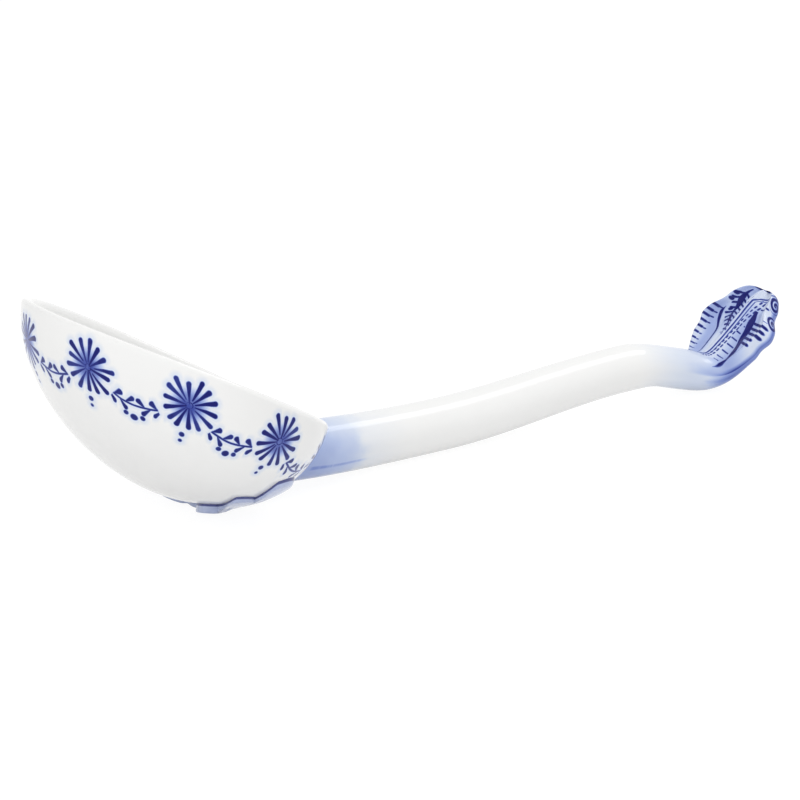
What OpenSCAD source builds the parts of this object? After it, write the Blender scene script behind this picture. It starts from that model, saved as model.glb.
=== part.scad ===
// Porcelain sauce ladle: a round bowl, an S-curved stem and a fluted scroll-shell terminal.
// The clay pieces are luted together with slip and fired as one.
// Millimetres. The ladle lies at rest on Z = 0, with +X from the bowl's front to the terminal.

/* [Bowl] */
// Outside diameter of the round rim
rim_d = 68; // [56:0.5:90]
// Depth from the rim to the deepest point of the outside
bowl_depth = 27.1; // [20:0.1:36]
// Thickness of the bowl's wall
bowl_wall = 2.4; // [1.6:0.1:4]
// How far the deepest point leans from the rim's middle towards the stem
bowl_lean = 7.2; // [0:0.1:12]
// Exponent of the side profile: 2 is elliptical, more is fuller
bowl_fullness = 1.92; // [1.7:0.02:2.4]
// How far the rim's sides rise above its mean level, and its front and back fall below it
rim_arch = 0.6; // [0:0.1:2]
// Tilt of the rim at rest, down towards the stem
bowl_tilt = 28.6; // [18:0.1:36]

/* [Stem] */
// Thickness of the stem at the bowl
root_d = 12.4; // [9:0.1:15]
// Thickness of the stem at its belly
belly_d = 11.3; // [8:0.1:14]
// Thickness of the stem at its crest
crest_d = 10.2; // [8:0.1:13]
// Thickness of the stem at its neck
neck_d = 9; // [7:0.1:12]
// Height of the stem's middle above the table at the bowl
root_height = 7.9; // [7:0.1:11]
// Height of the stem's middle above the table at its belly
belly_height = 6; // [5.5:0.1:9]
// Length of the stem from the bowl to its belly
belly_run = 44; // [30:0.5:60]
// Length of the stem from its belly to its crest
crest_run = 48.7; // [35:0.1:70]
// Length of the stem from its crest to its neck
neck_run = 10.4; // [7:0.1:16]
// How far the stem falls from its crest to its neck
neck_drop = 1.55; // [0.8:0.05:3]

/* [Terminal] */
// Length of the shell along its middle, from the neck to the end
shell_length = 35.1; // [26:0.1:44]
// Greatest width of the shell
shell_width = 24; // [16:0.2:28]
// Width of the shell's end scroll
scroll_width = 13.3; // [8:0.1:16]
// Height of the shell's face above its middle line
shell_face = 1.8; // [1.2:0.1:4]
// Depth of the shell's back below its middle line
shell_back = 3.1; // [2:0.1:6]
// Angle at which the shell turns up from the table
shell_pitch = 44.5; // [30:0.5:65]
// Rise of the rib along the middle of the face
rib_rise = 0.7; // [0:0.1:1.2]
// Depth of the flute on each side of the rib
flute_depth = 0.8; // [0:0.1:1.8]
// Rise of the lobe along each edge of the face
lobe_rise = 1.4; // [0:0.1:3]
// Depth of the two notches that part each edge into three scallops
notch_depth = 0.7; // [0:0.1:1.6]

/* [Leaf] */
// Thickness of the leaf's middle and of its front pair of lobes, on which the bowl rests
leaf_thick = 1.3; // [0.8:0.1:2.5]
// Thickness of the rest of the leaf
leaf_edge = 0.4; // [0.3:0.1:1.4]
// Reach of the front pair of lobes from the heart
leaf_front = 11.5; // [8:0.5:16]
// Reach of the middle pair of lobes from the heart
leaf_side = 20.5; // [14:0.5:24]
// Reach of the rear pair of lobes from the heart
leaf_rear = 24.2; // [14:0.2:28]

/* [Slip joints] */
// Reach of the slip fillet between stem and bowl
slip_fillet = 1.4; // [0.6:0.1:2.5]
// Thickness of the slip beds under the leaf and at the neck
slip_bed = 0.2; // [0.1:0.05:0.6]
// Clearance between two neighbouring pieces
clear = 0.1; // [0.05:0.01:0.2]

/* [Hidden] */

porcelain = [0.96, 0.96, 0.95];
washed_blue = [0.62, 0.72, 0.9];
pale_blue = [0.78, 0.84, 0.94];
slip_white = [0.9, 0.9, 0.88];

bowl_sides = 60;
bowl_rows = 13;
lip_rows = 4;
stem_sides = 24;
stem_rows = 26;
shell_rows = 34;
face_steps = 32;
back_steps = 14;
leaf_sides = 132;
leaf_rows = 6;

// Smooth step from 0 to 1
function ease(t) = let (c = min(max(t, 0), 1)) c * c * (3 - 2 * c);

// Round hump of height 1 at a place, falling to 0 half a width away
function hump(x, place, half) = abs(x - place) < half ? (1 + cos(180 * (x - place) / half)) / 2 : 0;

// Quarter of a superellipse: 1 at the middle, 0 at the edge
function dome(t, power) = pow(max(1 - pow(min(abs(t), 1), power), 0), 1 / power);

// Rings of equal counts joined into one closed skin that ends in a point at each end.
// Each patch between two rings is split along its shorter diagonal.
module skin(rings, first, last) {
    sides = len(rings[0]);
    rows = len(rings);
    end = rows * sides + 1;
    points = [first, for (ring = rings) each ring, last];
    function at(row, side) = 1 + row * sides + side % sides;
    faces = [
        for (k = [0 : sides - 1]) [0, at(0, k), at(0, k + 1)],
        for (row = [0 : rows - 2], k = [0 : sides - 1])
            let (a = at(row, k), b = at(row, k + 1), c = at(row + 1, k + 1), d = at(row + 1, k))
            each norm(points[a] - points[c]) <= norm(points[b] - points[d])
                 ? [[a, c, b], [a, d, c]] : [[a, d, b], [b, d, c]],
        for (k = [0 : sides - 1]) [end, at(rows - 1, k + 1), at(rows - 1, k)]
    ];
    polyhedron(points, faces);
}

// Sections of equal counts joined one after the other into a closed hoop
module hoop(sections) {
    sides = len(sections[0]);
    rows = len(sections);
    function at(row, side) = (row % rows) * sides + side % sides;
    faces = [
        for (row = [0 : rows - 1], k = [0 : sides - 1])
            each [[at(row, k), at(row, k + 1), at(row + 1, k + 1)],
                  [at(row, k), at(row + 1, k + 1), at(row + 1, k)]]
    ];
    polyhedron([for (section = sections) each section], faces);
}

// Bowl: points in its own frame are [along the rim towards the stem, across, down from the rim]
rim_r = rim_d / 2;
lean_rate = bowl_lean / bowl_depth;

// Turns a point from the bowl's frame to the ladle's, or back again
function bowl_turn(p) = [p[0] * cos(bowl_tilt) - p[2] * sin(bowl_tilt), p[1],
                         -p[0] * sin(bowl_tilt) - p[2] * cos(bowl_tilt)];

// Drop of the skin, grown by an amount, at a distance from the bowl's leaning axis
function skin_drop(r, grow) = (bowl_depth + grow) * dome(r / (rim_r + grow), bowl_fullness);

// Point of the bowl's frame from a distance along and across its leaning axis and a drop
function lean_point(along, across, drop) =
    let (bend = rim_arch * cos(2 * atan2(across, along)) * (1 - drop / bowl_depth), low = drop + bend)
    [along + lean_rate * low, across, low];

// Height of the rim's middle that leaves room for the leaf and its bed under the bowl's lowest point.
// Their clearances allow for the flat facets that cut across the bowl's curve.
facet_sag = 0.05;
bed_gap = clear + facet_sag;
leaf_base = bed_gap + slip_bed + bed_gap;
leaf_lift = leaf_base + leaf_thick;
low_step = 0.25;
rim_z = -min([for (r = [0 : low_step : rim_r]) bowl_turn(lean_point(r, 0, skin_drop(r, leaf_lift)))[2]]);

// Point on the bowl's outside grown by an amount, in the ladle's frame with the rim's middle over X = 0
function on_bowl(along, across, grow) =
    bowl_turn(lean_point(along, across, skin_drop(norm([along, across]), grow))) + [0, 0, rim_z];

// Distances [along, across] from the leaning axis and drop of a point of the ladle's frame
function off_axis(p) =
    let (q = bowl_turn(p - [0, 0, rim_z]),
         along = q[0] - lean_rate * q[2],
         bend = rim_arch * cos(2 * atan2(q[1], along)))
    [along, q[1], (q[2] - bend) / (1 - bend / bowl_depth)];

// Over 1 outside the bowl's skin grown by an amount, under 1 inside it
function bowl_level(p, grow) =
    let (q = off_axis(p))
    pow(norm([q[0], q[1]]) / (rim_r + grow), bowl_fullness)
    + pow(max(q[2], 0) / (bowl_depth + grow), bowl_fullness);

// Where a line from outside meets the bowl's skin grown by an amount, by halving the span
function reach(p, way, grow, near = 0, far = rim_d / 2, halvings = 26) =
    let (mid = (near + far) / 2)
    halvings == 0 ? p + mid * way
    : bowl_level(p + mid * way, grow) > 1 ? reach(p, way, grow, mid, far, halvings - 1)
    : reach(p, way, grow, near, mid, halvings - 1);

// Profile of the wall as [distance from the axis, drop] from the outside's pole over the lip to the inside's
lip_r = bowl_wall / 2;
side_start = asin(pow(lip_r / bowl_depth, bowl_fullness / 2));
function side(step, shrink) =
    let (t = 90 - (90 - side_start) * step)
    [(rim_r - shrink) * pow(cos(t), 2 / bowl_fullness),
     (bowl_depth - shrink) * pow(sin(t), 2 / bowl_fullness)];
wall_profile = [
    for (row = [1 : bowl_rows]) side(row / bowl_rows, 0),
    for (row = [1 : lip_rows - 1])
        let (t = 180 * row / lip_rows)
        [rim_r - lip_r + lip_r * cos(t), lip_r - lip_r * sin(t)],
    for (row = [bowl_rows : -1 : 1]) side(row / bowl_rows, bowl_wall)
];

function wall_point(r, drop, turn) =
    bowl_turn(lean_point(r * cos(turn), r * sin(turn), drop)) + [0, 0, rim_z];
bowl_rings = [
    for (p = wall_profile)
        [for (k = [0 : bowl_sides - 1]) wall_point(p[0], p[1], 360 * k / bowl_sides)]
];

// Terminal: its middle line leaves the neck along the stem and turns up to its pitch
neck_heading = atan(-2 * neck_drop / neck_run);
bend_start = 0.23 * shell_length;
bend_end = 0.5 * shell_length;
function heading(s) =
    neck_heading + (shell_pitch - neck_heading) * ease((s - bend_start) / (bend_end - bend_start));
function station(row) = shell_length * sin(90 * row / shell_rows);

// Middle line as [x, z] from the neck, one step per ring
shell_line = [
    for (row = 0, p = [0, 0]; row <= shell_rows;
         row = row + 1,
         step = station(row) - station(row - 1),
         way = heading((station(row) + station(row - 1)) / 2),
         p = p + step * [cos(way), sin(way)]) p
];

// Lengthwise shape of the shell: it spreads from the neck, holds its width and closes to a round end
spread_start = 0.125 * shell_length;
spread_end = 0.8 * shell_length;
taper_start = 0.65 * shell_length;
taper_end = 0.97 * shell_length;
end_round = 0.17 * shell_length;
end_power = 3;
face_round = 0.3 * shell_length;
face_end_power = 1.6;
side_notch = 0.63 * shell_length;
end_notch = 0.83 * shell_length;
notch_half = 0.077 * shell_length;
function spread(s) = ease((s - spread_start) / (spread_end - spread_start));
function taper(s) = ease((s - taper_start) / (taper_end - taper_start));
function closing(s) = dome(max(s - (shell_length - end_round), 0) / end_round, end_power);
function face_closing(s) = dome(max(s - (shell_length - face_round), 0) / face_round, face_end_power);
function notches(s) = notch_depth * (hump(s, side_notch, notch_half) + hump(s, end_notch, notch_half));
function full_width(s) =
    neck_d + (shell_width - neck_d) * spread(s) - (shell_width - scroll_width) * taper(s);
function half_width(s) = (full_width(s) / 2 - notches(s)) * closing(s);
function face_height(s) = (neck_d / 2 + (shell_face - neck_d / 2) * spread(s)) * face_closing(s);
function back_depth(s) = (neck_d / 2 + (shell_back - neck_d / 2) * spread(s)) * closing(s);

// Crosswise relief of the face at v from -1 to 1: a rib, a flute on each side and a raised lobe at each edge
rib_half = 0.16;
flute_place = 0.45;
flute_half = 0.26;
lobe_place = 0.86;
lobe_half = 0.17;
function relief(s, v) =
    spread(s) * closing(s)
    * (rib_rise * hump(v, 0, rib_half) - flute_depth * hump(abs(v), flute_place, flute_half)
       + lobe_rise * hump(abs(v), lobe_place, lobe_half));
face_fullness = 2;
function face_power(s) = 2 + face_fullness * spread(s);

// Outline of one section as [across, up] points, face first from its right edge to its left, then the back
edge_share = 0.55;
function section(s) = [
    for (k = [0 : face_steps - 1])
        let (t = k / face_steps, v = (1 - edge_share) * (1 - 2 * t) + edge_share * cos(180 * t))
        [half_width(s) * v, face_height(s) * dome(v, face_power(s)) + relief(s, v)],
    for (k = [0 : back_steps - 1])
        let (t = 180 * k / back_steps)
        [-half_width(s) * cos(t), -back_depth(s) * sin(t)]
];

// Height of the neck that sets the shell's back on the table
neck_gap = clear + slip_bed + clear;
neck_z = -neck_gap * sin(neck_heading) - min([
    for (row = [0 : shell_rows])
        shell_line[row][1] - back_depth(station(row)) * cos(heading(station(row)))
]);

// Stem: its middle line and thickness from the bowl over belly and crest to the neck
function wall_x(height) = reach([rim_d, 0, height], [-1, 0, 0], 0, 0, rim_d)[0];
root_x = wall_x(root_height);
belly_x = root_x + belly_run;
crest_x = belly_x + crest_run;
neck_x = crest_x + neck_run;
crest_height = neck_z + neck_drop;
function stem_z(x) =
    x < belly_x ? belly_height + (root_height - belly_height) * pow((belly_x - x) / belly_run, 2)
    : x < crest_x ? belly_height + (crest_height - belly_height) * ease((x - belly_x) / crest_run)
    : crest_height - neck_drop * pow((x - crest_x) / neck_run, 2);
function stem_r(x) =
    (x < belly_x ? root_d + (belly_d - root_d) * ease((x - root_x) / belly_run)
     : x < crest_x ? belly_d + (crest_d - belly_d) * ease((x - belly_x) / crest_run)
     : crest_d + (neck_d - crest_d) * ease((x - crest_x) / neck_run)) / 2;
slope_step = 0.01;
function stem_heading(x) =
    x >= neck_x ? neck_heading
    : atan((stem_z(x + slope_step) - stem_z(x - slope_step)) / (2 * slope_step));

// Point around a stem of radius r whose middle is at x, with turn 0 at the side and 90 on top
function around(x, turn, r) =
    let (way = stem_heading(x))
    [x - r * sin(turn) * sin(way), r * cos(turn), stem_z(x) + r * sin(turn) * cos(way)];

// The stem's root runs straight from here to its saddle on the bowl
lead_share = 0.7;
lead_x = root_x + lead_share * root_d;
lead_way = -[cos(stem_heading(lead_x)), 0, sin(stem_heading(lead_x))];
function saddle(turn, r, grow) = reach(around(lead_x, turn, r), lead_way, grow);
function turns(count) = [for (k = [0 : count - 1]) 360 * k / count];
saddle_rows = 5;
saddle_rings = [
    for (row = [1 : saddle_rows])
        [for (turn = turns(stem_sides)) saddle(turn, stem_r(lead_x) * row / saddle_rows, clear)]
];
lead_rings = [
    for (row = [1 : saddle_rows])
        let (t = row / saddle_rows)
        [for (turn = turns(stem_sides))
            (1 - t) * saddle(turn, stem_r(lead_x), clear) + t * around(lead_x, turn, stem_r(lead_x))]
];
stem_rings = [
    for (row = [1 : stem_rows])
        let (x = lead_x + (neck_x - lead_x) * row / stem_rows)
        [for (turn = turns(stem_sides)) around(x, turn, stem_r(x))]
];

// The slip bed at the neck and the shell follow on along the neck's heading
neck_way = [cos(neck_heading), 0, sin(neck_heading)];
neck_mid = [neck_x, 0, neck_z];
function neck_ring(run) = [for (turn = turns(stem_sides)) around(neck_x, turn, neck_d / 2) + run * neck_way];
shell_start = neck_mid + neck_gap * neck_way;
function shell_point(row, p) =
    let (way = heading(station(row)), q = shell_line[row])
    shell_start + [q[0] - p[1] * sin(way), p[0], q[1] + p[1] * cos(way)];
shell_rings = [
    for (row = [0 : shell_rows - 1])
        [for (p = section(station(row))) shell_point(row, p)]
];
shell_end = shell_point(shell_rows, [0, 0]);

// Slip fillet round the stem's root, thinner below, where stem and bowl meet at a low angle
fillet_low = 0.25;
fillet_hollow = 0.4;
function fillet(turn) = slip_fillet * (fillet_low + (1 - fillet_low) * (1 + sin(turn)) / 2);
function fillet_section(turn) =
    let (r = stem_r(lead_x) + clear, f = fillet(turn))
    [saddle(turn, r, clear), saddle(turn, r + f, clear),
     saddle(turn, r + fillet_hollow * f, clear + fillet_hollow * f), saddle(turn, r, clear + f)];

// Leaf: a heart on the bowl's underside and a lobed outline round it, as reach at a turn from the front
leaf_gap = 0.4;
heart_run = 4.5;
slip_front = off_axis(fillet_section(-90)[1])[0];
heart = slip_front - leaf_gap - heart_run;
// Each lobe is steep in front of its tip and long behind it: [turn of its start, tip and end]
front_lobe = [20, 50, 120];
side_lobe = [61, 67.5, 113];
rear_lobe = [80, 85.5, 138];
function lobe(turn, span) =
    turn < span[1] ? ease((turn - span[0]) / (span[1] - span[0]))
    : cos(90 * min((turn - span[1]) / (span[2] - span[1]), 1));
function leaf_reach(turn) =
    heart_run + max((leaf_front - heart_run) * lobe(turn, front_lobe),
                    (leaf_side - heart_run) * lobe(turn, side_lobe),
                    (leaf_rear - heart_run) * lobe(turn, rear_lobe));

// Rise of a leaf-shaped layer: thick at its heart and in the front lobes, thin elsewhere
pad_middle = 0.7 * leaf_front * [cos(front_lobe[1]), sin(front_lobe[1])];
pad_flat = 3;
pad_fall = 4;
function pad(p, middle) = 1 - ease((norm(p - middle) - pad_flat) / pad_fall);
function layer_rise(turn, r, thick, thin) =
    let (p = r * [cos(turn), abs(sin(turn))])
    thin + (thick - thin) * max(pad(p, [0, 0]), pad(p, pad_middle));
function leaf_point(turn, share, inset, base, thick, thin) =
    let (r = max(leaf_reach(abs(turn)) - inset, 0) * share)
    on_bowl(heart - r * cos(turn), r * sin(turn), base + layer_rise(turn, r, thick, thin));
leaf_turns = [for (k = [0 : leaf_sides - 1]) 180 - 360 * k / leaf_sides];
function leaf_ring(share, inset, base, thick, thin) =
    [for (turn = leaf_turns) leaf_point(turn, share, inset, base, thick, thin)];

// Both faces of a leaf-shaped layer, from the middle of its outer face to the middle of its inner face
module leaf_layer(inset, base, thick, thin) {
    outer = [for (row = [1 : leaf_rows]) leaf_ring(row / leaf_rows, inset, base, thick, thin)];
    inner = [for (row = [leaf_rows : -1 : 1]) leaf_ring(row / leaf_rows, inset, base, 0, 0)];
    skin(concat(outer, inner),
         leaf_point(0, 0, inset, base, thick, thin), leaf_point(0, 0, inset, base, 0, 0));
}

// The whole ladle is set with the middle of its length over the origin
front_x = min([for (ring = bowl_rings) for (p = ring) p[0]]);
back_x = max([for (ring = shell_rings) for (p = ring) p[0]]);
module placed() {
    translate([-(front_x + back_x) / 2, 0, 0])
        children();
}

module bowl() {
    color(porcelain)
        placed()
            skin(bowl_rings, wall_point(0, bowl_depth, 0), wall_point(0, bowl_depth - bowl_wall, 0));
}

module handle_stem() {
    color(porcelain)
        placed()
            skin(concat(saddle_rings, lead_rings, stem_rings), saddle(0, 0, clear), neck_mid);
}

module shell_terminal() {
    color(washed_blue)
        placed()
            skin(shell_rings, shell_start, shell_end);
}

module leaf_mount() {
    color(pale_blue)
        placed()
            leaf_layer(0, leaf_base, leaf_thick, leaf_edge);
}

module stem_joint_slip() {
    color(slip_white)
        placed()
            hoop([for (turn = turns(stem_sides)) fillet_section(turn)]);
}

module leaf_joint_slip() {
    bed_inset = 0.6;
    color(slip_white)
        placed()
            leaf_layer(bed_inset, bed_gap, slip_bed, slip_bed);
}

module neck_joint_slip() {
    color(slip_white)
        placed()
            skin([neck_ring(clear), neck_ring(clear + slip_bed)],
                 neck_mid + clear * neck_way, neck_mid + (clear + slip_bed) * neck_way);
}

bowl();
handle_stem();
shell_terminal();
leaf_mount();
stem_joint_slip();
leaf_joint_slip();
neck_joint_slip();
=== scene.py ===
# Porcelain sauce ladle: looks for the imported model. Shapes repeat the part's own formulas, finer.
import math

import bpy
import numpy as np
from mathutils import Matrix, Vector


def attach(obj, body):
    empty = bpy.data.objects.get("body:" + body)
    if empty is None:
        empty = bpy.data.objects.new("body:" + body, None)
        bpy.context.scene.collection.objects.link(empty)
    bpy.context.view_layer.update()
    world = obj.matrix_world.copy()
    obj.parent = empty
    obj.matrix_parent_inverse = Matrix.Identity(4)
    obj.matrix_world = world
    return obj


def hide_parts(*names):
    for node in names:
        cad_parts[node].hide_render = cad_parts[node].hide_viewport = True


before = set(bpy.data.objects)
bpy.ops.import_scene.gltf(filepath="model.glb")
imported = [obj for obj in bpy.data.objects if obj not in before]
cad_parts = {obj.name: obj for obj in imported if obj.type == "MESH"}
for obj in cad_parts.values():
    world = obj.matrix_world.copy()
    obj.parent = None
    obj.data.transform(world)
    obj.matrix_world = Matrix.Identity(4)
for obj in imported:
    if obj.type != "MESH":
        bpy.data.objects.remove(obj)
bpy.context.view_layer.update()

MM = 0.001

# Sizes in millimetres and angles in degrees, as in the part
RIM_R = 34.0
BOWL_DEPTH = 27.1
BOWL_WALL = 2.4
BOWL_LEAN = 7.2
BOWL_FULLNESS = 1.92
RIM_ARCH = 0.6
BOWL_TILT = 28.6
ROOT_D, BELLY_D, CREST_D, NECK_D = 12.4, 11.3, 10.2, 9.0
ROOT_HEIGHT, BELLY_HEIGHT = 7.9, 6.0
BELLY_RUN, CREST_RUN, NECK_RUN, NECK_DROP = 44.0, 48.7, 10.4, 1.55
SHELL_LENGTH, SHELL_WIDTH, SCROLL_WIDTH = 35.1, 24.0, 13.3
SHELL_FACE, SHELL_BACK, SHELL_PITCH = 1.8, 3.1, 44.5
RIB_RISE, FLUTE_DEPTH, LOBE_RISE, NOTCH_DEPTH = 0.7, 0.8, 1.4, 0.7
FLUTE_PLACE, LOBE_PLACE = 0.45, 0.86
RIB_HALF, FLUTE_HALF, LOBE_HALF = 0.16, 0.26, 0.17
BEND_START, BEND_END = 0.23, 0.5
SPREAD_START, SPREAD_END = 0.125, 0.8
TAPER_START, TAPER_END = 0.65, 0.97
SIDE_NOTCH, END_NOTCH, NOTCH_HALF = 0.63, 0.83, 0.077
END_ROUND, END_POWER = 0.17, 3
FACE_ROUND, FACE_END_POWER = 0.3, 1.6
LEAF_THICK, LEAF_EDGE = 1.3, 0.4
LEAF_FRONT, LEAF_SIDE, LEAF_REAR = 11.5, 20.5, 24.2
LEAF_BASE = 0.5
LEAF_LIFT = LEAF_BASE + LEAF_THICK
SLIP_FILLET = 1.4
CLEAR = 0.1
NECK_GAP = 0.4
# The imported model has the part's middle at zero
MIDDLE_X = 63.7877


def sin(angle):
    return np.sin(np.radians(angle))


def cos(angle):
    return np.cos(np.radians(angle))


def ease(t):
    c = np.clip(t, 0, 1)
    return c * c * (3 - 2 * c)


def hump(x, place, half):
    t = np.clip((x - place) / half, -1, 1)
    return (1 + cos(180 * t)) / 2


def dome(t, power):
    return np.maximum(1 - np.minimum(np.abs(t), 1) ** power, 0) ** (1 / power)


# Bowl: points of its own frame are along the rim towards the stem, across, and down from the rim
LEAN_RATE = BOWL_LEAN / BOWL_DEPTH


def bowl_turn(p):
    return np.stack([p[..., 0] * cos(BOWL_TILT) - p[..., 2] * sin(BOWL_TILT), p[..., 1],
                     -p[..., 0] * sin(BOWL_TILT) - p[..., 2] * cos(BOWL_TILT)], -1)


def lean_point(along, across, drop):
    bend = RIM_ARCH * np.cos(2 * np.arctan2(across, along)) * (1 - drop / BOWL_DEPTH)
    low = drop + bend
    return np.stack(np.broadcast_arrays(along + LEAN_RATE * low, across, low), -1)


def skin_drop(r, grow):
    return (BOWL_DEPTH + grow) * dome(r / (RIM_R + grow), BOWL_FULLNESS)


LOW_STEP = 0.25
low_run = np.arange(0, RIM_R, LOW_STEP)
underside = lean_point(low_run, 0 * low_run, skin_drop(low_run, LEAF_LIFT))
rim_z = -bowl_turn(underside)[:, 2].min()
rim_middle = np.array([0, 0, rim_z])


def on_bowl(along, across, grow):
    return bowl_turn(lean_point(along, across, skin_drop(np.hypot(along, across), grow))) + rim_middle


def off_axis(p):
    q = bowl_turn(p - rim_middle)
    along = q[..., 0] - LEAN_RATE * q[..., 2]
    bend = RIM_ARCH * np.cos(2 * np.arctan2(q[..., 1], along))
    return along, q[..., 1], (q[..., 2] - bend) / (1 - bend / BOWL_DEPTH)


def bowl_level(p, grow):
    along, across, drop = off_axis(p)
    return ((np.hypot(along, across) / (RIM_R + grow)) ** BOWL_FULLNESS
            + (np.maximum(drop, 0) / (BOWL_DEPTH + grow)) ** BOWL_FULLNESS)


HALVINGS = 40


def reach(p, way, grow, far):
    """Where lines from outside meet the bowl's skin grown by an amount, by halving the span."""
    near = np.zeros(p.shape[:-1])
    far = np.full(p.shape[:-1], float(far))
    for _ in range(HALVINGS):
        mid = (near + far) / 2
        outside = bowl_level(p + mid[..., None] * way, grow) > 1
        near = np.where(outside, mid, near)
        far = np.where(outside, far, mid)
    return p + mid[..., None] * way


def wall_point(r, drop, turn):
    return bowl_turn(lean_point(r * cos(turn), r * sin(turn), drop)) + rim_middle


# Terminal's middle line and sections
neck_heading = np.degrees(np.arctan(-2 * NECK_DROP / NECK_RUN))


def along_shell(s, start, end):
    """How far s has come between two shares of the shell's length, eased."""
    return ease((s / SHELL_LENGTH - start) / (end - start))


def rounded_end(s, share, power):
    return dome(np.maximum(s / SHELL_LENGTH - 1 + share, 0) / share, power)


def heading(s):
    return neck_heading + (SHELL_PITCH - neck_heading) * along_shell(s, BEND_START, BEND_END)


def spread(s):
    return along_shell(s, SPREAD_START, SPREAD_END)


def taper(s):
    return along_shell(s, TAPER_START, TAPER_END)


def closing(s):
    return rounded_end(s, END_ROUND, END_POWER)


def face_closing(s):
    return rounded_end(s, FACE_ROUND, FACE_END_POWER)


def half_width(s):
    full = NECK_D + (SHELL_WIDTH - NECK_D) * spread(s) - (SHELL_WIDTH - SCROLL_WIDTH) * taper(s)
    share = s / SHELL_LENGTH
    notches = hump(share, SIDE_NOTCH, NOTCH_HALF) + hump(share, END_NOTCH, NOTCH_HALF)
    return (full / 2 - NOTCH_DEPTH * notches) * closing(s)


def face_height(s):
    return (NECK_D / 2 + (SHELL_FACE - NECK_D / 2) * spread(s)) * face_closing(s)


def back_depth(s):
    return (NECK_D / 2 + (SHELL_BACK - NECK_D / 2) * spread(s)) * closing(s)


def relief(s, v):
    w = np.abs(v)
    rib = RIB_RISE * hump(v, 0, RIB_HALF)
    flute = FLUTE_DEPTH * hump(w, FLUTE_PLACE, FLUTE_HALF)
    raised = LOBE_RISE * hump(w, LOBE_PLACE, LOBE_HALF)
    return spread(s) * closing(s) * (rib - flute + raised)


FACE_STEPS = 108
BACK_STEPS = 60
SHELL_ROWS = 150
FINE_STEPS = 4000
face_v = cos(180 * np.arange(FACE_STEPS) / FACE_STEPS)
back_turn = 180 * np.arange(BACK_STEPS) / BACK_STEPS
face_share = np.concatenate([face_v, -cos(back_turn)])
is_face = np.concatenate([np.ones(FACE_STEPS), np.zeros(BACK_STEPS)])


def section(s):
    """Outline across the shell as across and up points, the face first, then the back."""
    face_up = face_height(s) * dome(face_v, 2 + 2 * spread(s)) + relief(s, face_v)
    up = np.concatenate([face_up, -back_depth(s) * sin(back_turn)])
    return half_width(s) * face_share, up


shell_s = SHELL_LENGTH * sin(90 * np.arange(SHELL_ROWS + 1) / SHELL_ROWS)
fine_s = np.linspace(0, SHELL_LENGTH, FINE_STEPS + 1)
step_way = heading((fine_s[1:] + fine_s[:-1]) / 2)
fine_x = np.concatenate([[0], np.cumsum(np.diff(fine_s) * cos(step_way))])
fine_z = np.concatenate([[0], np.cumsum(np.diff(fine_s) * sin(step_way))])
neck_z = -NECK_GAP * sin(neck_heading) - (fine_z - back_depth(fine_s) * cos(heading(fine_s))).min()

# Stem's middle line and thickness
root_x = reach(np.array([[2 * RIM_R, 0, ROOT_HEIGHT]]), np.array([-1.0, 0, 0]), 0, 2 * RIM_R)[0, 0]
belly_x = root_x + BELLY_RUN
crest_x = belly_x + CREST_RUN
neck_x = crest_x + NECK_RUN
crest_height = neck_z + NECK_DROP


def stem_z(x):
    low = BELLY_HEIGHT + (ROOT_HEIGHT - BELLY_HEIGHT) * ((belly_x - x) / BELLY_RUN) ** 2
    rise = BELLY_HEIGHT + (crest_height - BELLY_HEIGHT) * ease((x - belly_x) / CREST_RUN)
    fall = crest_height - NECK_DROP * ((x - crest_x) / NECK_RUN) ** 2
    return np.where(x < belly_x, low, np.where(x < crest_x, rise, fall))


def stem_r(x):
    first = ROOT_D + (BELLY_D - ROOT_D) * ease((x - root_x) / BELLY_RUN)
    second = BELLY_D + (CREST_D - BELLY_D) * ease((x - belly_x) / CREST_RUN)
    third = CREST_D + (NECK_D - CREST_D) * ease((x - crest_x) / NECK_RUN)
    return np.where(x < belly_x, first, np.where(x < crest_x, second, third)) / 2


SLOPE_STEP = 0.01


def stem_heading(x):
    rise = stem_z(x + SLOPE_STEP) - stem_z(x - SLOPE_STEP)
    return np.degrees(np.arctan(rise / (2 * SLOPE_STEP)))


def stem_ring(x, across, up):
    """Ring of points round the stem's middle at x."""
    way = stem_heading(x)
    return np.stack([x - up * sin(way), across, stem_z(x) + up * cos(way)], -1)


# The stem's round part starts a little off the bowl, and straight lines lead from it to the wall
LEAD_RUN = 0.7 * ROOT_D
lead_x = root_x + LEAD_RUN
lead_r = stem_r(lead_x)
lead_heading = stem_heading(lead_x)
lead_way = -np.array([cos(lead_heading), 0, sin(lead_heading)])
shift = np.array([-MIDDLE_X, 0, 0])


def new_mesh(name, points, faces, normals=None, **values):
    """Mesh object in the row frame from millimetre points, with named values at its vertices."""
    mesh = bpy.data.meshes.new(name)
    mesh.from_pydata(((points + shift) * MM).tolist(), [], faces)
    mesh.update()
    mesh.shade_smooth()
    for key, value in values.items():
        value = np.asarray(value, np.float32)
        kind = "FLOAT_VECTOR" if value.ndim == 2 else "FLOAT"
        layer = mesh.attributes.new(key, kind, "POINT")
        layer.data.foreach_set("vector" if value.ndim == 2 else "value", value.ravel())
    if normals is not None:
        mesh.normals_split_custom_set_from_vertices(normals.tolist())
    piece = bpy.data.objects.new(name, mesh)
    bpy.context.scene.collection.objects.link(piece)
    return piece


def skin_faces(rows, sides):
    """Faces of a closed skin: a first point, rows of rings, a last point."""
    faces = [(0, 1 + (k + 1) % sides, 1 + k) for k in range(sides)]
    for row in range(rows - 1):
        base = 1 + row * sides
        for k in range(sides):
            after = (k + 1) % sides
            faces.append((base + k, base + after, base + sides + after, base + sides + k))
    end = 1 + rows * sides
    base = 1 + (rows - 1) * sides
    faces += [(end, base + k, base + (k + 1) % sides) for k in range(sides)]
    return faces


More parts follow.
